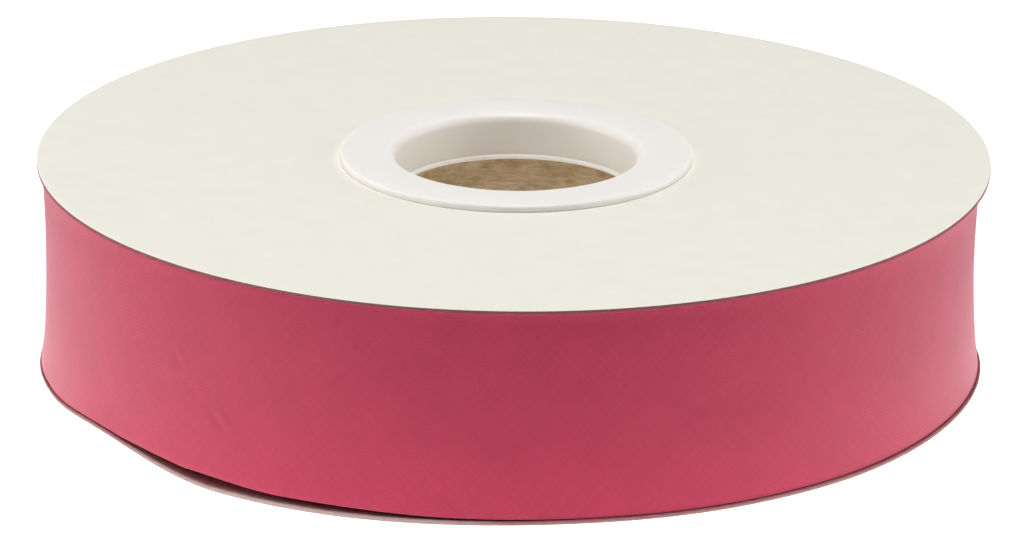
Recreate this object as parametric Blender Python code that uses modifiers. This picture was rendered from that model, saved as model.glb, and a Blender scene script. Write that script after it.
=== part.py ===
"""A roll of folded bias binding on a flat spool: two card discs, a card tube and two plastic bushes.

Metres, +Z up. The spool lies flat on its lower bush, with the axis of its bore on Z and the surface under it at Z = 0.
"""

import math

import bpy

MM = 0.001

# The tape as it is wound: folded width, and the ring that its turns fill
TAPE_WIDTH = 25.0 * MM
ROLL_RADIUS = 56.6 * MM
ROLL_WAIST = 0.3 * MM  # the two pressed-in edges don't quite meet, so the turns are thinner in the middle
ROLL_OFF_CENTRE = -0.5 * MM  # the winding runs a little to one side
FOLD_ROUNDING = 0.4 * MM

# The two card discs
CARD_THICKNESS = 0.5 * MM
CARD_TOP_RADIUS = 57.7 * MM
CARD_BOTTOM_RADIUS = 57.2 * MM
CARD_TOP_SHIFT = -0.25 * MM
CARD_BOTTOM_SHIFT = -0.5 * MM
CARD_HOLE_RADIUS = 16.7 * MM
CARD_EDGE_ROUNDING = 0.1 * MM
RIM_WAVE_START = 30.0 * MM  # the discs are flat inside this radius

# The tube, and the bushes that clamp the discs on its ends
TUBE_RADIUS = 18.1 * MM
TUBE_BORE_RADIUS = 16.1 * MM
SLEEVE_RADIUS = 15.8 * MM
SLEEVE_DEPTH = 4.8 * MM  # below the disc's outer face
SPINDLE_RADIUS = 14.6 * MM
BEAD_RISE = 0.35 * MM  # ring inside the sleeve's end
BEAD_HEIGHT = 0.8 * MM
COLLAR_RADIUS = 21.35 * MM
COLLAR_THICKNESS = 0.6 * MM
COLLAR_ROUNDING = 0.28 * MM
BORE_LIP_ROUNDING = 1.2 * MM

# Room between neighbouring pieces
GAP = 0.3 * MM

# Heights, from the surface upwards
CARD_BOTTOM_UNDERSIDE = COLLAR_THICKNESS + GAP
ROLL_UNDERSIDE = CARD_BOTTOM_UNDERSIDE + CARD_THICKNESS + GAP
CARD_TOP_UNDERSIDE = ROLL_UNDERSIDE + TAPE_WIDTH + GAP
CARD_TOP_FACE = CARD_TOP_UNDERSIDE + CARD_THICKNESS

ROLL_STEPS = 96
CARD_STEPS = 96
HUB_STEPS = 64

# Bends of each disc's rim: where round the disc, how far they spread each way, and how high they lift it
TOP_RIM_BENDS = (
    {"at": math.radians(20), "spread": math.radians(75), "lift": 0.20 * MM},
    {"at": math.radians(195), "spread": math.radians(80), "lift": 0.25 * MM},
)
BOTTOM_RIM_BENDS = (
    {"at": math.radians(242), "spread": math.radians(40), "lift": -0.42 * MM},
    {"at": math.radians(75), "spread": math.radians(60), "lift": -0.15 * MM},
)


def empty_scene():
    for obj in list(bpy.data.objects):
        bpy.data.objects.remove(obj, do_unlink=True)


def linear(channel):
    """One sRGB channel, 0 to 255, as the linear value that a shader takes."""
    value = channel / 255
    return value / 12.92 if value <= 0.04045 else ((value + 0.055) / 1.055) ** 2.4


def plain_material(name, rgb, roughness):
    material = bpy.data.materials.new(name)
    material.use_nodes = True
    shader = material.node_tree.nodes["Principled BSDF"]
    shader.inputs["Base Color"].default_value = (*map(linear, rgb), 1)
    shader.inputs["Roughness"].default_value = roughness
    shader.inputs["Metallic"].default_value = 0
    return material


def arc(centre, radius, start, end, count):
    """Points (radius, height) round a centre, from the start to the end angle in degrees, both ends included."""
    points = []
    for i in range(count):
        angle = math.radians(start + (end - start) * i / (count - 1))
        points.append((centre[0] + radius * math.cos(angle), centre[1] + radius * math.sin(angle)))
    return points


def turned(name, profile, steps, material, collection):
    """A closed profile of (radius, height) points turned round Z. It runs down the outer side, from top to bottom."""
    mesh = bpy.data.meshes.new(name)
    edges = [(i, (i + 1) % len(profile)) for i in range(len(profile))]
    mesh.from_pydata([(radius, 0, height) for radius, height in profile], edges, [])
    obj = bpy.data.objects.new(name, mesh)
    collection.objects.link(obj)
    obj.data.materials.append(material)
    screw = obj.modifiers.new("turn", "SCREW")
    screw.axis = "Z"
    screw.steps = steps
    screw.render_steps = steps
    screw.use_merge_vertices = True
    screw.merge_threshold = 0.00001
    screw.use_smooth_shade = True
    return obj


def reshape(obj, moved):
    """Keeps the turned mesh in place of its profile, with each of its points where moved(x, y, z) puts it."""
    graph = bpy.context.evaluated_depsgraph_get()
    mesh = bpy.data.meshes.new_from_object(obj.evaluated_get(graph))
    profile = obj.data
    obj.modifiers.clear()
    obj.data = mesh
    bpy.data.meshes.remove(profile)
    for vertex in mesh.vertices:
        vertex.co = moved(*vertex.co)
    mesh.shade_smooth()
    mesh.set_sharp_from_angle(angle=math.radians(40))


def mirrored(profile, height):
    """The profile upside down about a height, in the order that keeps its outer side running downwards."""
    return [(radius, 2 * height - z) for radius, z in reversed(profile)]


def rim_lift(x, y, rim_radius, bends):
    """How far a disc's bent rim stands above its flat middle at a point."""
    reach = (math.hypot(x, y) - RIM_WAVE_START) / (rim_radius - RIM_WAVE_START)
    reach = min(max(reach, 0), 1)
    lift = 0
    for bend in bends:
        away = abs(math.remainder(math.atan2(y, x) - bend["at"], math.tau)) / bend["spread"]
        if away < 1:
            lift += bend["lift"] * (1 + math.cos(math.pi * away)) / 2
    return lift * reach * reach


def wound_binding(collection):
    """All the turns of tape as one ring, rounded at the folds and waisted half way up."""
    cloth = plain_material("rose_cotton", (199, 78, 103), 0.9)
    inner = TUBE_RADIUS + GAP
    bottom = ROLL_UNDERSIDE
    top = bottom + TAPE_WIDTH
    corner = ROLL_RADIUS - FOLD_ROUNDING
    profile = [(inner, top), ((inner + corner) / 2, top)]
    profile += arc((corner, top - FOLD_ROUNDING), FOLD_ROUNDING, 90, 0, 4)
    for part in (0.2, 0.35, 0.5, 0.65, 0.8):
        waist = ROLL_WAIST * math.sin(math.pi * part)
        profile.append((ROLL_RADIUS - waist, top - TAPE_WIDTH * part))
    profile += arc((corner, bottom + FOLD_ROUNDING), FOLD_ROUNDING, 0, -90, 4)
    profile += [((inner + corner) / 2, bottom), (inner, bottom)]
    roll = turned("wound_binding", profile, ROLL_STEPS, cloth, collection)

    def off_centre(x, y, z):
        outwards = (math.hypot(x, y) - inner) / (ROLL_RADIUS - inner)
        return (x + ROLL_OFF_CENTRE * outwards, y, z)

    reshape(roll, off_centre)


def card_disc(name, rim_radius, underside, shift, bends, material, collection):
    """A thin punched disc with a hole for the sleeve, its rim a little bent."""
    top = underside + CARD_THICKNESS
    rounding = CARD_EDGE_ROUNDING
    rings = [CARD_HOLE_RADIUS, RIM_WAVE_START, (RIM_WAVE_START + rim_radius) / 2]
    edge = rim_radius - rounding
    profile = [(radius, top) for radius in rings] + [(edge, top), (rim_radius, top - rounding)]
    profile += [(rim_radius, underside + rounding), (edge, underside)]
    profile += [(radius, underside) for radius in reversed(rings)]
    disc = turned(name, profile, CARD_STEPS, material, collection)

    def bent(x, y, z):
        return (x + shift, y, z + rim_lift(x, y, rim_radius, bends))

    reshape(disc, bent)


def core_tube(collection):
    kraft = plain_material("brown_card", (158, 138, 105), 0.9)
    bottom = ROLL_UNDERSIDE
    top = bottom + TAPE_WIDTH
    profile = [(TUBE_BORE_RADIUS, top), (TUBE_RADIUS, top), (TUBE_RADIUS, bottom), (TUBE_BORE_RADIUS, bottom)]
    turned("core_tube", profile, HUB_STEPS, kraft, collection)


def bush_profile():
    """The upper bush: lip of the bore, flat collar, sleeve, and the bead inside the sleeve's end."""
    face = CARD_TOP_FACE + GAP + COLLAR_THICKNESS
    collar_underside = face - COLLAR_THICKNESS
    sleeve_end = CARD_TOP_FACE - SLEEVE_DEPTH
    lip_centre = (SPINDLE_RADIUS + BORE_LIP_ROUNDING, face - BORE_LIP_ROUNDING)
    edge_centre = (COLLAR_RADIUS - COLLAR_ROUNDING, face - COLLAR_ROUNDING)
    bead_radius = SPINDLE_RADIUS - BEAD_RISE
    profile = arc(lip_centre, BORE_LIP_ROUNDING, 180, 90, 5)
    profile += arc(edge_centre, COLLAR_ROUNDING, 90, 0, 3)
    profile += [(COLLAR_RADIUS, collar_underside), (SLEEVE_RADIUS, collar_underside)]
    profile += [(SLEEVE_RADIUS, sleeve_end), (bead_radius, sleeve_end)]
    profile += [(bead_radius, sleeve_end + BEAD_HEIGHT / 2), (SPINDLE_RADIUS, sleeve_end + BEAD_HEIGHT)]
    return profile


def bushes(collection):
    plastic = plain_material("white_polythene", (238, 235, 230), 0.4)
    upper = bush_profile()
    middle = ROLL_UNDERSIDE + TAPE_WIDTH / 2
    turned("hub_top", upper, HUB_STEPS, plastic, collection)
    turned("hub_bottom", mirrored(upper, middle), HUB_STEPS, plastic, collection)


def main():
    empty_scene()
    collection = bpy.data.collections.new("bias_binding_roll")
    bpy.context.scene.collection.children.link(collection)
    card = plain_material("cream_card", (236, 234, 222), 0.75)
    wound_binding(collection)
    card_disc("card_top", CARD_TOP_RADIUS, CARD_TOP_UNDERSIDE, CARD_TOP_SHIFT, TOP_RIM_BENDS, card, collection)
    card_disc(
        "card_bottom",
        CARD_BOTTOM_RADIUS,
        CARD_BOTTOM_UNDERSIDE,
        CARD_BOTTOM_SHIFT,
        BOTTOM_RIM_BENDS,
        card,
        collection,
    )
    core_tube(collection)
    bushes(collection)


main()
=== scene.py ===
"""Looks of a roll of folded bias binding on a flat card spool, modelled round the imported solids.

Metres, +Z up. The spool lies on its lower bush, the axis of its bore is Z, and the camera looks along +Y.
"""

import math
import random

import bmesh
import bpy
from mathutils import Matrix, Vector


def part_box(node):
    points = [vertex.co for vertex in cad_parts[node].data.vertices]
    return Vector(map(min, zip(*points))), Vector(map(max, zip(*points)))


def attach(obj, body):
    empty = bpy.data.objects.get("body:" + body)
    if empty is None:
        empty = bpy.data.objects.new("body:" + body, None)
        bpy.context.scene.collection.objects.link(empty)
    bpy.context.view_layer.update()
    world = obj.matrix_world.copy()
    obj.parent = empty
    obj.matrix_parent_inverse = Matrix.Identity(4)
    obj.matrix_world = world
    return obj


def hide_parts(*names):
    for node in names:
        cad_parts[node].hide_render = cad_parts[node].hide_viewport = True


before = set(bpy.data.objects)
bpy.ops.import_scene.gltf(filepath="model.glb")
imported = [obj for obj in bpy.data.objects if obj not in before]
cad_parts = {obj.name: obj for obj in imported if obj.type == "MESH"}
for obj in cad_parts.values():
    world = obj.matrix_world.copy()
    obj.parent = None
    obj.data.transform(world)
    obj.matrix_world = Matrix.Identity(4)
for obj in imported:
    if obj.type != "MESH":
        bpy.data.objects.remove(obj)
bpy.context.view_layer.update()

MM = 0.001
SAME_PLACE = 0.002 * MM  # points closer than this are one point

# Places read from the frame: the tube is as tall as the tape is wide, and the roll's skin gives the last turn
tube_low, tube_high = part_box("core_tube")
roll_low, roll_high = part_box("wound_binding")
hub_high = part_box("hub_top")[1]
ROLL_BOTTOM = tube_low[2]
ROLL_TOP = tube_high[2]
MIDDLE = (ROLL_TOP + ROLL_BOTTOM) / 2
TUBE_RADIUS = tube_high[1]
ROLL_RADIUS = roll_high[1]
ROLL_SHIFT = (roll_low[0] + roll_high[0]) / 2
COLLAR_TOP = hub_high[2]
COLLAR_RADIUS = hub_high[0]

# Pieces that touch on the real spool are a hair apart
HAIR = 0.04 * MM

# The cards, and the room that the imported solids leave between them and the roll
CARD_ROOM = 0.3 * MM
CARD_THICKNESS = 0.5 * MM
CARD_HOLE_RADIUS = 16.7 * MM
CARD_FLAT_RADIUS = 30 * MM  # inside it the cards aren't bent
CARD_RINGS = (0, 0.1, 0.3, 0.45, 0.6, 0.72, 0.84)  # where rings of points lie between a card's hole and rim
PUNCH_ROUNDING = 0.09 * MM
UPPER_NORMAL = 0.6  # faces whose normal rises this much or more are the upper face, with most of its rounding
LOWER_NORMAL = -0.98  # faces whose normal falls this much or more are the underside, without its rounding
CARD_TOP_FACE = ROLL_TOP + CARD_ROOM + CARD_THICKNESS
CARD_BOTTOM_FACE = ROLL_BOTTOM - CARD_ROOM - CARD_THICKNESS

# The tape: TURNS of it fill the room between the tube and the roll's outside
TURNS = 107
PITCH = (ROLL_RADIUS - TUBE_RADIUS - HAIR) / TURNS
PRESSED = 0.24 * MM  # the folds reach the cards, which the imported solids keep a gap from
TAPE_TOP = ROLL_TOP + PRESSED
TAPE_BOTTOM = ROLL_BOTTOM - PRESSED
CLOTH = 0.165 * MM  # one of the two layers that are folded together
LAYER_ROOM = 0.015 * MM
OUTER_RADIUS = ROLL_RADIUS + 0.34 * MM  # where the last turn ends; it is wound less tightly than the rest
WAIST = 0.5 * MM  # the raw edges don't meet under the outer layer, so the roll is thinner half way up
WAISTED_TURNS = 3  # how many of the outer turns that shows in
FLARE = 0.22 * MM  # the foot of the last turn stands out where it meets the lower card
FLARE_HEIGHT = 2.2 * MM
FOLD_RISE = 0.28 * MM  # the pressed folds are soft, so they are taller than the tape is thick
FOOT_RISE = 0.16 * MM  # the last turn's lower fold, which the roll's weight has squashed
RIDGE = 0.1 * MM  # how far the folds of the other turns stand up out of the valleys between them
UNEVEN = 0.09 * MM  # how much less than the others some of those folds stand out
EDGE_GAP = 2.4 * MM  # between the two raw edges
TAPE_END = math.radians(97)  # where round the roll the last turn ends, at the back
THREAD = 0.32 * MM  # spacing of the threads; real ones stand 0.25 mm apart, too fine for the picture

# Bends of each card's rim: where round the card they are and how far they spread to each side in degrees,
# and how far they lift it in mm
TOP_BENDS = (
    {"at": 20, "spread": 75, "lift": 0.20},
    {"at": 195, "spread": 80, "lift": 0.25},
)
BOTTOM_BENDS = (
    {"at": 196, "spread": 27, "lift": 0.97},
    {"at": 214, "spread": 19, "lift": 1.45},
    {"at": 242, "spread": 40, "lift": -0.46},
    {"at": 318, "spread": 30, "lift": 0.16},
    {"at": 350, "spread": 38, "lift": 0.75},
    {"at": 75, "spread": 60, "lift": -0.15},
)

# Bends of the tape's foot above the lower card, which fell back when the spool was set down
FOOT_BENDS = (
    {"at": 227, "spread": 15, "lift": 0.80},
    {"at": 243, "spread": 22, "lift": 0.30},
)
LOOSE_TURNS = 2  # how many of the outer turns have lifted there; those inside them stand on the card

# Painted shade on the lower card, given with the edge material: a dark reddish tone on its cut edge and on a
# ring of its upper face next to the tape
UNSHADED_EDGE = {"at": 243, "spread": 27}  # in degrees, the part of its edge that is left without the painted shade
PAINTED_SHADE_RING = 2.6 * MM  # how far in from the rim a ring of its upper face has the painted shade, dark red for the shaded gap under the tape
SHADE_FADE_LIP = 1.5 * MM  # the outer part of that ring, where the painted shade fades out towards the unshaded part of the edge
FADED = 0.7  # how much less painted shade its edge has at the underside than at the upper face

# Faint slanting creases in the last turn: where round the roll and their slant from level in degrees, and
# their height above the table, length and depth in mm
CREASES = (
    {"at": 226.5, "height": 15.7, "length": 4.2, "slant": -58, "depth": 0.10},
    {"at": 229.5, "height": 12.2, "length": 3.0, "slant": -50, "depth": 0.06},
    {"at": 233.2, "height": 9.2, "length": 5.6, "slant": -46, "depth": 0.12},
    {"at": 257.2, "height": 3.4, "length": 2.8, "slant": -45, "depth": 0.09},
    {"at": 281.0, "height": 17.5, "length": 5.0, "slant": 44, "depth": 0.025},
    {"at": 318.0, "height": 8.0, "length": 4.6, "slant": -47, "depth": 0.04},
    {"at": 352.0, "height": 19.0, "length": 4.0, "slant": -52, "depth": 0.04},
    {"at": 28.0, "height": 12.0, "length": 6.0, "slant": -45, "depth": 0.05},
    {"at": 71.0, "height": 21.0, "length": 3.6, "slant": 48, "depth": 0.04},
    {"at": 128.0, "height": 7.5, "length": 5.2, "slant": -48, "depth": 0.05},
    {"at": 175.0, "height": 17.0, "length": 4.4, "slant": -44, "depth": 0.04},
)
CREASE_WIDTH = 0.42 * MM
CREASE_REACH = 4 * CREASE_WIDTH  # further than this to either side a crease has faded out
TROUGH_AWAY = 1.6 * CREASE_WIDTH  # from each crease's ridge to the trough beside it

# Waves in the last turn from the uneven pull it was wound with: their depth in mm, how many go round the
# roll, and where they start in radians. A swell has a height in mm. A ripple leans, by one radian of its
# wave in so many mm of height
SWELL = {"depth": 0.02, "waves": 5, "start": 1.1, "height": 9}
RIPPLE = {"depth": 0.015, "waves": 11, "lean": 4}

# The bushes
SLEEVE_RADIUS = 15.8 * MM
SLEEVE_DEPTH = 4.8 * MM  # from the card's outer face to the sleeve's foot
BORE_RADIUS = 14.6 * MM
BORE_LIP_ROUNDING = 1.2 * MM
COLLAR_UNDERSIDE = CARD_TOP_FACE + HAIR
COLLAR_DRAFT = 0.06 * MM  # its side leans in by this much, so that it leaves the mould
COLLAR_ROUNDING = 0.34 * MM
COLLAR_FOOT_ROUNDING = 0.03 * MM

# The sleeve's foot from below: how far it is drawn in, so that it slips into the tube, and the height, in mm
SLEEVE_FOOT = ((0.5, 0), (0.25, 0.25), (0, 2))

# The bead inside the sleeve's foot, from above: how far it stands into the bore, and the height, in mm
BEAD = ((0, 0.56), (0.16, 0.5), (0.31, 0.34), (0.35, 0.2), (0.3, 0.08), (0.16, 0))

TUBE_BORE_RADIUS = 16.1 * MM
TUBE_ROUNDING = 0.2 * MM

NEARLY_ROUND = math.radians(359)  # a whole turn would join the two ends of the tape

LIGHTS_AIM = (0, 0, 14 * MM)  # half way up the spool

# How finely the pieces are divided: steps round Z, and rows along the parts of a section
LAST_TURN_STEPS = 640
WOUND_STEPS = 128
CARD_STEPS = 256
BUSH_STEPS = 192
TUBE_STEPS = 160
FRONT_ROWS = 44
BEHIND_ROWS = 10
FLAP_ROWS = 5
FOLD_ROWS = 8
WALL_ROWS = 12


def hex_colour(code):
    """An sRGB hex colour as the linear colour that a shader takes."""
    channels = [int(code[i : i + 2], 16) / 255 for i in (1, 3, 5)]
    linear = [c / 12.92 if c <= 0.04045 else ((c + 0.055) / 1.055) ** 2.4 for c in channels]
    return (*linear, 1)


def node(tree, kind, inputs=None, **settings):
    """Adds a shader node. inputs gives a socket, by name or number, its value or the output that feeds it."""
    made = tree.nodes.new("ShaderNode" + kind)
    for name, value in settings.items():
        setattr(made, name, value)
    for name, value in (inputs or {}).items():
        if isinstance(value, bpy.types.NodeSocket):
            tree.links.new(value, made.inputs[name])
        else:
            made.inputs[name].default_value = value
    return made


def new_material(name):
    material = bpy.data.materials.new(name)
    material.use_nodes = True
    return material, material.node_tree, material.node_tree.nodes["Principled BSDF"]


def only(piece):
    bpy.ops.object.select_all(action="DESELECT")
    piece.select_set(True)
    bpy.context.view_layer.objects.active = piece


def start(name, add, **settings):
    """Adds a primitive with one of Blender's tools, puts its place into its mesh and opens it for editing."""
    bpy.ops.object.select_all(action="DESELECT")
    add(**settings)
    piece = bpy.context.object
    piece.name = name
    piece.data.name = name
    bpy.ops.object.transform_apply(location=True, rotation=True, scale=True)
    bpy.ops.object.mode_set(mode="EDIT")
    return piece


def turned(name, section, steps):
    """A ring: a circle drawn from each (radius, height) of its section to the next, and closed."""
    radius, height = section[0]
    add = bpy.ops.mesh.primitive_circle_add
    piece = start(name, add, vertices=steps, radius=radius, location=(0, 0, height))
    for next_radius, next_height in section[1:]:
        step = (0, 0, next_height - height)
        bpy.ops.mesh.extrude_region_move(TRANSFORM_OT_translate={"value": step})
        grow = next_radius / radius
        bpy.ops.transform.resize(value=(grow, grow, 1), center_override=(0, 0, next_height))
        radius, height = next_radius, next_height
    bpy.ops.mesh.select_mode(type="EDGE")
    bpy.ops.mesh.select_all(action="DESELECT")
    bpy.ops.mesh.select_non_manifold()
    bpy.ops.mesh.bridge_edge_loops()
    return piece


def round_edge(piece, corner, width, segments):
    """Rounds the edge that runs round a turned piece at one (radius, height) of its section."""
    bpy.ops.mesh.select_all(action="DESELECT")
    mesh = bmesh.from_edit_mesh(piece.data)
    for edge in mesh.edges:
        places = [(math.hypot(end.co.x, end.co.y), end.co.z) for end in edge.verts]
        if all(math.dist(place, corner) < SAME_PLACE for place in places):
            edge.select_set(True)
    bmesh.update_edit_mesh(piece.data)
    bpy.ops.mesh.bevel(offset=width, segments=segments, profile=0.5, affect="EDGES")


def close_up(piece, smooth_to=35):
    """Turns every face outwards, leaves edit mode and shades the piece smooth up to an angle in degrees."""
    bpy.ops.mesh.select_all(action="SELECT")
    bpy.ops.mesh.normals_make_consistent(inside=False)
    bpy.ops.object.mode_set(mode="OBJECT")
    only(piece)
    bpy.ops.object.shade_smooth_by_angle(angle=math.radians(smooth_to))


def away_from(x, y, spot):
    """How far round from a spot a point is, where 1 is as far as the spot spreads."""
    away = abs(math.remainder(math.atan2(y, x) - math.radians(spot["at"]), math.tau))
    return away / math.radians(spot["spread"])


def rim_lift(x, y, rim_radius, bends):
    """How far a card's bent rim stands above its flat middle at a point."""
    reach = (math.hypot(x, y) - CARD_FLAT_RADIUS) / (rim_radius - CARD_FLAT_RADIUS)
    reach = min(max(reach, 0), 1)
    lift = 0
    for bend in bends:
        away = away_from(x, y, bend)
        if away < 1:
            lift += bend["lift"] * MM * (1 + math.cos(math.pi * away)) / 2
    return lift * reach * reach


def waisted(radius, height):
    """How far the roll is drawn in at a height, less its flare at the foot. Only its outside is."""
    if radius < ROLL_RADIUS - WAISTED_TURNS * PITCH:
        return 0
    drawn_in = WAIST * math.sin(math.pi * (height - TAPE_BOTTOM) / (TAPE_TOP - TAPE_BOTTOM))
    return drawn_in - FLARE * math.exp(-(((height - TAPE_BOTTOM) / FLARE_HEIGHT) ** 2))


def creased(angle, height):
    """How far the last turn's surface is pushed out or in by its waves and creases."""
    around = math.sin(SWELL["waves"] * angle + SWELL["start"])
    upwards = math.sin(math.pi * height / (SWELL["height"] * MM))
    lift = SWELL["depth"] * MM * around * upwards
    lift += RIPPLE["depth"] * MM * math.sin(RIPPLE["waves"] * angle + height / (RIPPLE["lean"] * MM))
    for crease in CREASES:
        round_by = math.remainder(angle - math.radians(crease["at"]), math.tau) * ROLL_RADIUS
        up_by = height - crease["height"] * MM
        slant = math.radians(crease["slant"])
        along = round_by * math.cos(slant) + up_by * math.sin(slant)
        across = up_by * math.cos(slant) - round_by * math.sin(slant)
        reach = abs(along) / (crease["length"] * MM / 2)
        if reach < 1 and abs(across) < CREASE_REACH:
            ridge = math.exp(-((across / CREASE_WIDTH) ** 2))
            trough = math.exp(-(((across + TROUGH_AWAY) / CREASE_WIDTH) ** 2))
            lift += crease["depth"] * MM * (ridge - trough) * (1 + math.cos(math.pi * reach)) / 2
    return lift


def spun_tape(name, section, steps, lift):
    """A closed outline of (radius, height) points, drawn point by point and turned once round Z as a spiral.

    The last column stands one PITCH further out than the first one. lift(index, turn, angle) is how far out
    and up each point is moved. The UV map "tape" holds each point's place along the tape and across it, in
    metres.
    """
    first = (section[0][0], 0, section[0][1])
    piece = start(name, bpy.ops.mesh.primitive_plane_add, size=PITCH, location=first)
    bpy.ops.mesh.merge(type="CENTER")
    for (radius, height), (next_radius, next_height) in zip(section, section[1:] + section[:1]):
        step = (next_radius - radius, 0, next_height - height)
        bpy.ops.mesh.extrude_region_move(TRANSFORM_OT_translate={"value": step})
    bpy.ops.mesh.select_all(action="SELECT")
    bpy.ops.mesh.remove_doubles(threshold=SAME_PLACE)
    bpy.ops.object.mode_set(mode="OBJECT")
    bpy.ops.object.modifier_add(type="SCREW")
    screw = piece.modifiers[-1]
    screw.steps = steps
    screw.render_steps = steps
    screw.angle = NEARLY_ROUND
    screw.use_merge_vertices = False
    bpy.ops.object.modifier_apply(modifier=screw.name)

    # Every column of the turned mesh repeats the first one's order of points, which isn't the outline's own
    mesh = piece.data
    count = len(section)
    drawn = []
    for vertex in mesh.vertices[:count]:
        place = (math.hypot(vertex.co.x, vertex.co.y), vertex.co.z)
        drawn.append(min(range(count), key=lambda i: math.dist(place, section[i])))
    across = [0]
    for here, there in zip(section, section[1:] + section[:1]):
        across.append(across[-1] + math.dist(here, there))

    tape = mesh.uv_layers.new(name="tape")
    for face in mesh.polygons:
        points = [drawn[i % count] for i in face.vertices]
        wraps = 0 in points and count - 1 in points
        for corner, vertex, point in zip(face.loop_indices, face.vertices, points):
            along = vertex // count / steps * math.tau * ROLL_RADIUS
            tape.data[corner].uv = (along, across[count] if wraps and point == 0 else across[point])

    for vertex in mesh.vertices:
        turn = vertex.index // count / steps
        index = drawn[vertex.index % count]
        radius, height = section[index]
        angle = TAPE_END - turn * math.tau
        radius += turn * PITCH
        out, up = lift(index, turn, angle)
        shift = ROLL_SHIFT * (radius - TUBE_RADIUS) / (ROLL_RADIUS - TUBE_RADIUS)
        radius += out - waisted(radius, height)
        x = shift + radius * math.cos(angle)
        y = radius * math.sin(angle)
        loose = min(max((radius - ROLL_RADIUS) / PITCH + LOOSE_TURNS + 1, 0), 1)
        pushed = max(rim_lift(x, y, ROLL_RADIUS, BOTTOM_BENDS), 0)
        pushed += loose * rim_lift(x, y, ROLL_RADIUS, FOOT_BENDS)
        down = (TAPE_TOP - height) / (TAPE_TOP - TAPE_BOTTOM)
        up += pushed * down**3  # most of the lift is taken up by the lower half of the tape
        vertex.co = (x, y, height + up)

    only(piece)
    bpy.ops.object.mode_set(mode="EDIT")
    bpy.ops.mesh.select_all(action="SELECT")
    bpy.ops.mesh.remove_doubles(threshold=SAME_PLACE)
    bpy.ops.mesh.fill_holes(sides=0)
    close_up(piece)
    return piece


def rows(start_height, end_height, count):
    """Heights from one to the other in equal steps, both ends included."""
    return [start_height + (end_height - start_height) * i / count for i in range(count + 1)]


def fold(radius, height, bend, rise, start_angle):
    """The half ellipse of a pressed fold round (radius, height), without its two ends."""
    points = []
    for i in range(1, FOLD_ROWS):
        angle = math.radians(start_angle + 180 * i / FOLD_ROWS)
        points.append((radius + bend * math.cos(angle), height + rise * math.sin(angle)))
    return points


def last_turn(cloth):
    """The outer turn of tape, whole: outer layer, both pressed folds and two flaps turned in behind it."""
    outside = OUTER_RADIUS - PITCH
    bend = CLOTH + LAYER_ROOM / 2
    behind = outside - CLOTH
    flap_front = behind - LAYER_ROOM
    flap_back = outside - 2 * bend
    top = TAPE_TOP - FOLD_RISE
    bottom = TAPE_BOTTOM + FOOT_RISE
    raw_top = MIDDLE + EDGE_GAP / 2
    raw_bottom = MIDDLE - EDGE_GAP / 2
    crease_radius = behind - LAYER_ROOM / 2

    section = [(outside, height) for height in rows(bottom, top, FRONT_ROWS)]
    section += fold(outside - bend, top, bend, FOLD_RISE, 0)
    section += [(flap_back, height) for height in rows(top, raw_top, FLAP_ROWS)]
    section += [(flap_front, height) for height in rows(raw_top, top, FLAP_ROWS)]
    section += [(crease_radius, top + LAYER_ROOM / 2)]
    section += [(behind, height) for height in rows(top, bottom, BEHIND_ROWS)]
    section += [(crease_radius, bottom - LAYER_ROOM / 2)]
    section += [(flap_front, height) for height in rows(bottom, raw_bottom, FLAP_ROWS)]
    section += [(flap_back, height) for height in rows(raw_bottom, bottom, FLAP_ROWS)]
    section += fold(outside - bend, bottom, bend, FOOT_RISE, 180)

    def lift(index, turn, angle):
        return creased(angle, section[index][1]), 0

    turn = spun_tape("last_turn", section, LAST_TURN_STEPS, lift)
    turn.data.materials.append(cloth)
    return turn


def wound_turns(cloth):
    """All the turns under the last one, as one body with each turn's folds as ridges on its two faces."""
    rng = random.Random(7)
    count = TURNS - 2  # less the last turn, and the one that a spiral grows by on its way round
    inner = TUBE_RADIUS + HAIR
    radii = [inner + PITCH * i / 2 for i in range(2 * count + 1)]
    uneven_top = [rng.uniform(-UNEVEN, 0) for _ in range(count + 2)]
    uneven_bottom = [rng.uniform(0, UNEVEN) for _ in range(count + 2)]

    # Both faces are valleys at even places and ridges at odd ones, counted outwards from the tube
    section = [(radius, TAPE_TOP - RIDGE * ((i + 1) % 2)) for i, radius in enumerate(radii)]
    wall = rows(TAPE_TOP - RIDGE, TAPE_BOTTOM + RIDGE, WALL_ROWS)
    section += [(radii[-1], height) for height in wall[1:-1]]
    first_below = len(section)
    section += [(radius, TAPE_BOTTOM + RIDGE * (i % 2)) for i, radius in enumerate(reversed(radii), 1)]

    def lift(index, turn, angle):
        if index < len(radii):
            place, uneven = index, uneven_top
        elif index >= first_below:
            place, uneven = len(section) - 1 - index, uneven_bottom
        else:
            return 0, 0
        if place % 2 == 0:
            return 0, 0
        ridge = place // 2
        return 0, uneven[ridge] + (uneven[ridge + 1] - uneven[ridge]) * turn

    turns = spun_tape("wound_turns", section, WOUND_STEPS, lift)
    turns.data.materials.append(cloth)
    return turns


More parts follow.
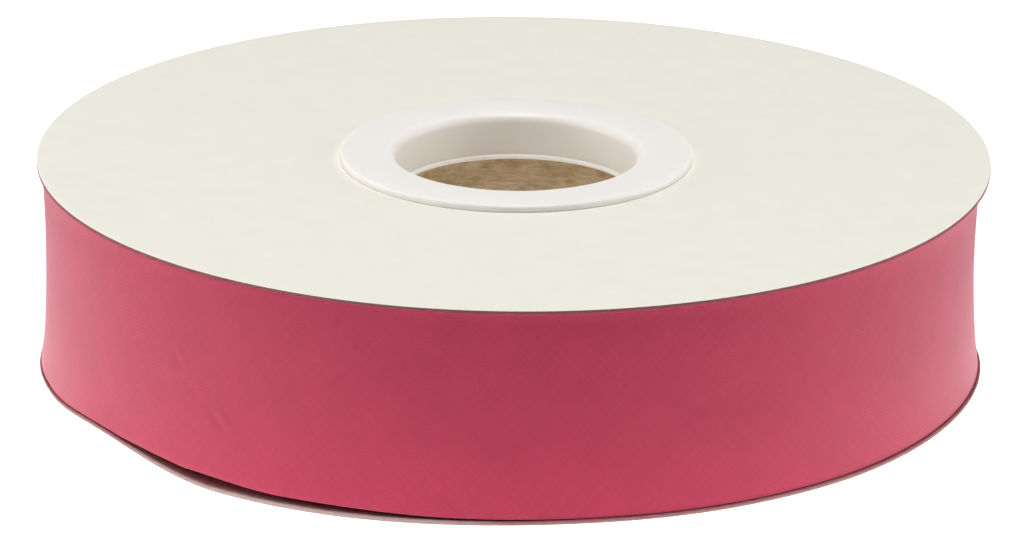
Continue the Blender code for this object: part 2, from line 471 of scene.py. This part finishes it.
def card_disc(node_name, underside, bends, coated, cut_edge, painted_ring=0, unshaded=None):
    """One punched disc of card. Its cut edges are a material of their own, and the punch rounds them a bit.

    A ring of the upper face has that material too. An attribute gives the edge material its painted shade: it
    is 1 where the board is painted a dark reddish tone that stands in for the shade of the gap under the tape
    and the red light the cloth throws into it. Round a rim with an unshaded part it falls to 0 at that part,
    and it fades towards the underside.
    """
    low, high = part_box(node_name)
    rim = high[1]
    shift = (low[0] + high[0]) / 2
    top = underside + CARD_THICKNESS
    radii = [CARD_HOLE_RADIUS + (rim - CARD_HOLE_RADIUS) * part for part in CARD_RINGS]
    radii += [rim - PAINTED_SHADE_RING, rim - SHADE_FADE_LIP, rim]
    section = [(radius, top) for radius in radii]
    section += [(radius, underside) for radius in reversed(radii)]
    disc = turned("punched_" + node_name, section, CARD_STEPS)
    for corner in ((rim, top), (rim, underside), (CARD_HOLE_RADIUS, top), (CARD_HOLE_RADIUS, underside)):
        round_edge(disc, corner, PUNCH_ROUNDING, 3)
    close_up(disc, smooth_to=50)
    # Painted shade: how much of the edge material's dark reddish tone, which stands in for shade, each point
    # takes
    painted_shade = disc.data.attributes.new("painted_shade", "FLOAT", "POINT")
    for vertex in disc.data.vertices:
        x, y, z = vertex.co
        vertex.co = (x + shift, y, z + rim_lift(x, y, rim, bends))
        # Near the unshaded part of the rim the painted shade falls to 0, and it is weaker towards the
        # underside
        if unshaded and math.hypot(x, y) > rim - SHADE_FADE_LIP / 2:
            faded = 1 - FADED * (top - z) / CARD_THICKNESS
            painted_shade.data[vertex.index].value = faded * min(away_from(x, y, unshaded) ** 4, 1)
        else:
            painted_shade.data[vertex.index].value = 1
    disc.data.materials.append(coated)
    disc.data.materials.append(cut_edge)
    # Cut edges, and the ring of the upper face next to the rim, take the edge material with its painted shade
    for face in disc.data.polygons:
        looks_up = face.normal.z >= UPPER_NORMAL
        looks_down = face.normal.z <= LOWER_NORMAL
        on_ring = looks_up and math.hypot(face.center.x - shift, face.center.y) > rim - painted_ring
        face.material_index = 1 if on_ring or not (looks_up or looks_down) else 0
    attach(disc, "root")
    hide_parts(node_name)


def bush_section():
    """The upper bush: from its sleeve's foot up the outside, over the collar and down the bore."""
    foot = CARD_TOP_FACE - SLEEVE_DEPTH
    section = [(SLEEVE_RADIUS - inwards * MM, foot + height * MM) for inwards, height in SLEEVE_FOOT]
    section += [
        (SLEEVE_RADIUS, COLLAR_UNDERSIDE),
        (COLLAR_RADIUS, COLLAR_UNDERSIDE),
        (COLLAR_RADIUS - COLLAR_DRAFT, COLLAR_TOP),
        (BORE_RADIUS, COLLAR_TOP),
    ]
    section += [(BORE_RADIUS - inwards * MM, foot + height * MM) for inwards, height in BEAD]
    return section


def bush(name, node_name, upside_down, plastic):
    """One moulded bush. The lower one is the upper one turned over about the roll's middle."""
    section = bush_section()
    corners = [
        ((COLLAR_RADIUS - COLLAR_DRAFT, COLLAR_TOP), COLLAR_ROUNDING, 5),
        ((BORE_RADIUS, COLLAR_TOP), BORE_LIP_ROUNDING, 9),
        ((COLLAR_RADIUS, COLLAR_UNDERSIDE), COLLAR_FOOT_ROUNDING, 2),
    ]
    if upside_down:
        section = [(radius, 2 * MIDDLE - height) for radius, height in section]
        corners = [((radius, 2 * MIDDLE - height), *rounding) for (radius, height), *rounding in corners]
    piece = turned(name, section, BUSH_STEPS)
    for corner, width, segments in corners:
        round_edge(piece, corner, width, segments)
    close_up(piece, smooth_to=40)
    piece.data.materials.append(plastic)
    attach(piece, "root")
    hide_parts(node_name)


def paper_tube(kraft):
    """The tube that the tape is wound on, its two cut rims softened."""
    section = [
        (TUBE_BORE_RADIUS, ROLL_TOP),
        (TUBE_RADIUS, ROLL_TOP),
        (TUBE_RADIUS, ROLL_BOTTOM),
        (TUBE_BORE_RADIUS, ROLL_BOTTOM),
    ]
    tube = turned("paper_tube", section, TUBE_STEPS)
    for corner in section:
        round_edge(tube, corner, TUBE_ROUNDING, 3)
    close_up(tube)
    tube.data.materials.append(kraft)
    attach(tube, "root")
    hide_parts("core_tube")


def tape_cloth():
    """Bias tape of plain-woven cotton, dyed in the piece and pressed flat.

    Woven: fine threads at 45 degrees to the tape. Dyed cotton: one deep rose, uneven by a few parts in a
    hundred, matt, with fibre ends that catch a pale light where the surface turns away.
    """
    material, tree, shader = new_material("dyed_plain_woven_cotton")
    place = node(tree, "UVMap", uv_map="tape").outputs["UV"]
    # The threads wander to each side by up to 0.8 of their spacing, over about nine of them
    wander = node(
        tree,
        "TexNoise",
        {"Vector": place, "Scale": 1 / (9 * THREAD), "Detail": 2.0},
        noise_dimensions="2D",
    ).outputs["Color"]
    drift = node(tree, "VectorMath", {0: wander, 1: (0.5, 0.5, 0.5)}, operation="SUBTRACT").outputs[0]
    bent = node(
        tree,
        "VectorMath",
        {0: drift, 1: (1.6 * THREAD, 1.6 * THREAD, 0), 2: place},
        operation="MULTIPLY_ADD",
    ).outputs[0]
    threads = node(
        tree,
        "Mapping",
        {"Vector": bent, "Rotation": (0, 0, math.radians(45)), "Scale": (1 / THREAD, 1 / THREAD, 1)},
    ).outputs[0]
    wave = math.tau / 20  # a wave texture repeats every tau / 20 at scale 1, so this makes it one a thread
    warp = node(tree, "TexWave", {"Vector": threads, "Scale": wave}, bands_direction="X").outputs["Fac"]
    weft = node(tree, "TexWave", {"Vector": threads, "Scale": wave}, bands_direction="Y").outputs["Fac"]
    over = node(tree, "TexChecker", {"Vector": threads, "Scale": 1.0}).outputs["Fac"]
    weave = node(tree, "Mix", {"Factor": over, 2: warp, 3: weft}, data_type="FLOAT").outputs[0]

    # Thick and thin places in the yarn, about 14 times as long as they are wide, one set for each direction
    slubs = []
    for scale in ((1, 0.07, 1), (0.07, 1, 1)):
        along = node(tree, "Mapping", {"Vector": threads, "Scale": scale}).outputs[0]
        streak = node(
            tree,
            "TexNoise",
            {"Vector": along, "Scale": 0.8, "Detail": 2.0},
            noise_dimensions="2D",
        ).outputs["Fac"]
        slubs.append(streak)
    slub = node(tree, "Mix", {"Factor": 0.5, 2: slubs[0], 3: slubs[1]}, data_type="FLOAT").outputs[0]
    cloud = node(
        tree,
        "TexNoise",
        {"Vector": place, "Scale": 1 / (7 * MM), "Detail": 3.0, "Roughness": 0.6},
        noise_dimensions="2D",
    ).outputs["Fac"]

    shade = node(tree, "MapRange", {"Value": weave, "To Min": 0.95, "To Max": 1.02}).outputs[0]
    uneven = node(
        tree,
        "MapRange",
        {"Value": slub, "From Min": 0.35, "From Max": 0.65, "To Min": 0.96, "To Max": 1.04},
    ).outputs[0]
    patchy = node(
        tree,
        "MapRange",
        {"Value": cloud, "From Min": 0.3, "From Max": 0.7, "To Min": 0.965, "To Max": 1.035},
    ).outputs[0]
    tone = node(tree, "Math", {0: shade, 1: uneven}, operation="MULTIPLY").outputs[0]
    tone = node(tree, "Math", {0: tone, 1: patchy}, operation="MULTIPLY").outputs[0]
    colour = node(
        tree,
        "Mix",
        {"Factor": 1.0, 6: hex_colour("#B83755"), 7: tone},
        data_type="RGBA",
        blend_type="MULTIPLY",
    ).outputs[2]
    relief = node(tree, "Math", {0: slub, 1: 0.5, 2: weave}, operation="MULTIPLY_ADD").outputs[0]
    bump = node(tree, "Bump", {"Height": relief, "Strength": 0.22, "Distance": 0.05 * MM}).outputs[0]
    tree.links.new(colour, shader.inputs["Base Color"])
    tree.links.new(bump, shader.inputs["Normal"])
    shader.inputs["Roughness"].default_value = 0.9
    shader.inputs["Specular IOR Level"].default_value = 0.2
    shader.inputs["Sheen Weight"].default_value = 0.55
    shader.inputs["Sheen Roughness"].default_value = 0.5
    shader.inputs["Sheen Tint"].default_value = hex_colour("#FFE9EC")
    return material


def coated_card():
    """Cream card, coated and calendered: smooth, with a soft satin light, and faintly cloudy with fibres."""
    material, tree, shader = new_material("cream_coated_card")
    place = node(tree, "TexCoord").outputs["Object"]
    cloud = node(tree, "TexNoise", {"Vector": place, "Scale": 1 / (4 * MM), "Detail": 4.0}).outputs["Fac"]
    grain = node(tree, "TexNoise", {"Vector": place, "Scale": 1 / (0.35 * MM), "Detail": 2.0}).outputs["Fac"]
    mixed = node(tree, "Math", {0: grain, 1: 0.6, 2: cloud}, operation="MULTIPLY_ADD").outputs[0]
    tone = node(tree, "MapRange", {"Value": mixed, "From Min": 0.5, "From Max": 1.1}).outputs[0]
    colour = node(
        tree,
        "Mix",
        {"Factor": tone, 6: hex_colour("#E9E7DB"), 7: hex_colour("#EDEBE0")},
        data_type="RGBA",
    ).outputs[2]
    rough = node(tree, "MapRange", {"Value": grain, "To Min": 0.5, "To Max": 0.66}).outputs[0]
    bump = node(tree, "Bump", {"Height": mixed, "Strength": 0.25, "Distance": 0.01 * MM}).outputs[0]
    tree.links.new(colour, shader.inputs["Base Color"])
    tree.links.new(rough, shader.inputs["Roughness"])
    tree.links.new(bump, shader.inputs["Normal"])
    shader.inputs["IOR"].default_value = 1.48
    shader.inputs["Specular IOR Level"].default_value = 0.35
    return material


def board_edge():
    """The cut edge of a card: bare grey board in thin level plies, pressed by the punch, matt.

    Painted shade: a dark reddish tone, laid on where the attribute asks for it, stands in for the shade of
    the gap under the tape and the red light the cloth throws into it; elsewhere the board keeps its own grey.
    """
    material, tree, shader = new_material("punched_board_edge_with_painted_shade")
    place = node(tree, "TexCoord").outputs["Object"]
    # Plies about 0.1 mm thick, and about ten times as long
    plies = node(tree, "Mapping", {"Vector": place, "Scale": (900, 900, 9000)}).outputs[0]
    plies = node(tree, "TexNoise", {"Vector": plies, "Scale": 1.0, "Detail": 3.0}).outputs["Fac"]
    tone = node(tree, "MapRange", {"Value": plies, "From Min": 0.3, "From Max": 0.7}).outputs[0]
    # The board's own grey, and the dark reddish tone of the painted shade
    unshaded, painted_dark = (
        node(
            tree,
            "Mix",
            {"Factor": tone, 6: hex_colour(dark), 7: hex_colour(pale)},
            data_type="RGBA",
        ).outputs[2]
        for dark, pale in (("#A8918C", "#BAA5A0"), ("#84474D", "#9C6068"))
    )
    # Painted shade, from the attribute that each card sets on its points
    painted_shade = node(tree, "Attribute", attribute_name="painted_shade").outputs["Fac"]
    colour = node(tree, "Mix", {"Factor": painted_shade, 6: unshaded, 7: painted_dark}, data_type="RGBA").outputs[2]
    bump = node(tree, "Bump", {"Height": plies, "Strength": 0.5, "Distance": 0.03 * MM}).outputs[0]
    tree.links.new(colour, shader.inputs["Base Color"])
    tree.links.new(bump, shader.inputs["Normal"])
    shader.inputs["Roughness"].default_value = 0.92
    shader.inputs["Specular IOR Level"].default_value = 0.2
    return material


def moulded_plastic():
    """White polythene, injection moulded: a soft waxy sheen, a little light let in, and faint flow marks."""
    material, tree, shader = new_material("moulded_white_polythene")
    place = node(tree, "TexCoord").outputs["Object"]
    flow = node(tree, "TexNoise", {"Vector": place, "Scale": 1 / (5 * MM), "Detail": 2.0}).outputs["Fac"]
    fine = node(tree, "TexNoise", {"Vector": place, "Scale": 1 / (0.5 * MM), "Detail": 2.0}).outputs["Fac"]
    colour = node(
        tree,
        "Mix",
        {"Factor": flow, 6: hex_colour("#F3EEE8"), 7: hex_colour("#F6F2ED")},
        data_type="RGBA",
    ).outputs[2]
    rough = node(tree, "MapRange", {"Value": fine, "To Min": 0.34, "To Max": 0.48}).outputs[0]
    bump = node(tree, "Bump", {"Height": fine, "Strength": 0.2, "Distance": 0.01 * MM}).outputs[0]
    tree.links.new(colour, shader.inputs["Base Color"])
    tree.links.new(rough, shader.inputs["Roughness"])
    tree.links.new(bump, shader.inputs["Normal"])
    shader.inputs["IOR"].default_value = 1.51
    shader.inputs["Subsurface Weight"].default_value = 0.35
    shader.inputs["Subsurface Radius"].default_value = (1.0, 0.9, 0.8)
    shader.inputs["Subsurface Scale"].default_value = 1.6 * MM
    return material


def kraft_paper():
    """Unbleached kraft paper wound into a tube: brown and matt, with long fibres and dark flecks."""
    material, tree, shader = new_material("spiral_wound_kraft_paper")
    place = node(tree, "TexCoord").outputs["Object"]
    # Fibres about 1.4 mm long and 0.4 mm thick
    fibre = node(tree, "Mapping", {"Vector": place, "Scale": (700, 700, 2600)}).outputs[0]
    fibre = node(
        tree,
        "TexNoise",
        {"Vector": fibre, "Scale": 1.0, "Detail": 4.0, "Roughness": 0.6},
    ).outputs["Fac"]
    cloud = node(tree, "TexNoise", {"Vector": place, "Scale": 1 / (3 * MM), "Detail": 3.0}).outputs["Fac"]
    mixed = node(tree, "Math", {0: cloud, 1: 0.7, 2: fibre}, operation="MULTIPLY_ADD").outputs[0]
    tone = node(tree, "MapRange", {"Value": mixed, "From Min": 0.6, "From Max": 1.1}).outputs[0]
    colour = node(
        tree,
        "Mix",
        {"Factor": tone, 6: hex_colour("#AC9573"), 7: hex_colour("#DCC8A8")},
        data_type="RGBA",
    ).outputs[2]
    bump = node(tree, "Bump", {"Height": mixed, "Strength": 0.4, "Distance": 0.04 * MM}).outputs[0]
    tree.links.new(colour, shader.inputs["Base Color"])
    tree.links.new(bump, shader.inputs["Normal"])
    shader.inputs["Roughness"].default_value = 0.9
    shader.inputs["Specular IOR Level"].default_value = 0.25
    return material


def pale_table():
    """The plain pale table: a matt white diffuser, lit from below under the spool and behind it."""
    material, tree, shader = new_material("matt_white_table")
    place = node(tree, "TexCoord").outputs["Object"]
    cloud = node(tree, "TexNoise", {"Vector": place, "Scale": 1 / (40 * MM), "Detail": 2.0}).outputs["Fac"]
    colour = node(
        tree,
        "Mix",
        {"Factor": cloud, 6: hex_colour("#E7E7E6"), 7: hex_colour("#EAEAE9")},
        data_type="RGBA",
    ).outputs[2]
    behind = (0, 150 * MM, 0)
    away = node(tree, "VectorMath", {0: place, 1: behind}, operation="DISTANCE").outputs["Value"]
    lit = node(
        tree,
        "MapRange",
        {"Value": away, "From Min": 170 * MM, "From Max": 400 * MM, "To Min": 0.5, "To Max": 0.0},
        interpolation_type="SMOOTHSTEP",
    ).outputs[0]
    tree.links.new(colour, shader.inputs["Base Color"])
    tree.links.new(lit, shader.inputs["Emission Strength"])
    shader.inputs["Emission Color"].default_value = (1, 1, 1, 1)
    shader.inputs["Roughness"].default_value = 0.8
    return material


def floor():
    table = start("table", bpy.ops.mesh.primitive_plane_add, size=16, location=(0, 0, 0))
    bpy.ops.object.mode_set(mode="OBJECT")
    table.data.materials.append(pale_table())


def camera():
    """The photograph's camera, fitted to the outlines of both cards and of the collar."""
    distance = 1327.1 * MM
    tilt = math.radians(17.962)
    roll = math.radians(0.4637)
    aim_left = 0.114 * MM
    aim_down = 13.766 * MM
    middle = Vector((-0.25 * MM, 0, CARD_TOP_FACE))
    across = Vector((1, 0, 0))
    back = Vector((0, -math.cos(tilt), math.sin(tilt)))
    aim = middle - across * aim_left - back.cross(across) * aim_down
    data = bpy.data.cameras.new("photo_camera")
    data.sensor_width = 36
    data.lens = 385.5
    made = bpy.data.objects.new("photo_camera", data)
    bpy.context.scene.collection.objects.link(made)
    place = middle + back * distance
    forward = (aim - place).normalized()
    right = forward.cross(Vector((0, 0, 1))).normalized()
    up = right.cross(forward)
    level = Matrix((right, up, -forward)).transposed().to_4x4()
    made.matrix_world = Matrix.Translation(place) @ level @ Matrix.Rotation(roll, 4, "Z")
    bpy.context.scene.camera = made


def softbox(name, place, size, radiance, aim=LIGHTS_AIM, shape="RECTANGLE"):
    """A soft flat light of an even radiance, which the camera doesn't see."""
    data = bpy.data.lights.new(name, "AREA")
    data.shape = shape
    data.size, data.size_y = size
    area = size[0] * size[1] * (math.pi / 4 if shape == "ELLIPSE" else 1)
    data.energy = radiance * math.pi * area
    box = bpy.data.objects.new(name, data)
    bpy.context.scene.collection.objects.link(box)
    box.location = place
    box.rotation_euler = (Vector(aim) - Vector(place)).to_track_quat("-Z", "Y").to_euler()
    box.visible_camera = False


def pale_room():
    """A dim room that is pale at eye level, where a low view looks past the table's edge."""
    world = bpy.data.worlds.new("pale_room")
    world.use_nodes = True
    tree = world.node_tree
    sight = node(tree, "TexCoord").outputs["Generated"]
    height = node(tree, "SeparateXYZ", {0: sight}).outputs["Z"]
    level = node(tree, "Math", {0: height}, operation="ABSOLUTE").outputs[0]
    strength = node(
        tree,
        "MapRange",
        {"Value": level, "From Min": 0.03, "From Max": 0.08, "To Min": 0.95, "To Max": 0.0},
    ).outputs[0]
    background = tree.nodes["Background"]
    background.inputs["Color"].default_value = (1, 1, 1, 1)
    tree.links.new(strength, background.inputs["Strength"])
    bpy.context.scene.world = world


def light_tent():
    """Plain soft studio light: a broad diffuser overhead, boxes on all four sides, and a lit table."""
    overhead = bpy.data.lights.new("overhead_diffuser", "SUN")
    overhead.energy = 1.7
    overhead.angle = math.radians(25)
    bpy.context.scene.collection.objects.link(bpy.data.objects.new("overhead_diffuser", overhead))
    softbox("left_box", place=(-0.5, -0.1, 0.4), size=(0.3, 0.3), radiance=2.0)
    softbox("left_low_box", place=(-0.5, 0, 0.1), size=(0.3, 0.18), radiance=5.9)
    softbox("right_box", place=(0.7, 0.12, 0.3), size=(0.3, 0.4), radiance=3.0)
    softbox("right_low_box", place=(0.5, 0, 0.1), size=(0.3, 0.18), radiance=3.6)
    softbox("front_box", place=(0, -0.2, 0.5), size=(0.25, 0.15), radiance=5.8, aim=(0, -0.15, 0))
    softbox("back_box", place=(0, 0.9, 0.5), size=(1.2, 0.5), radiance=0.6)
    softbox(
        "table_glow",
        place=(0, 0, 0.02 * MM),
        size=(0.124, 0.148),
        radiance=0.65,
        aim=(0, 0, 1),
        shape="ELLIPSE",
    )
    pale_room()
    bpy.context.scene.view_settings.view_transform = "Standard"


camera()
light_tent()
floor()
cloth = tape_cloth()
for tape in (last_turn(cloth), wound_turns(cloth)):
    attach(tape, "root")
    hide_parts("wound_binding")
card = coated_card()
edge = board_edge()
# The upper card's whole cut edge takes the painted shade. The lower card's edge takes it, except for its
# unshaded part, and so does a ring of its upper face
card_disc("card_top", CARD_TOP_FACE - CARD_THICKNESS, TOP_BENDS, card, edge)
card_disc("card_bottom", CARD_BOTTOM_FACE, BOTTOM_BENDS, card, edge, PAINTED_SHADE_RING, UNSHADED_EDGE)
plastic = moulded_plastic()
bush("upper_bush", "hub_top", False, plastic)
bush("lower_bush", "hub_bottom", True, plastic)
paper_tube(kraft_paper())
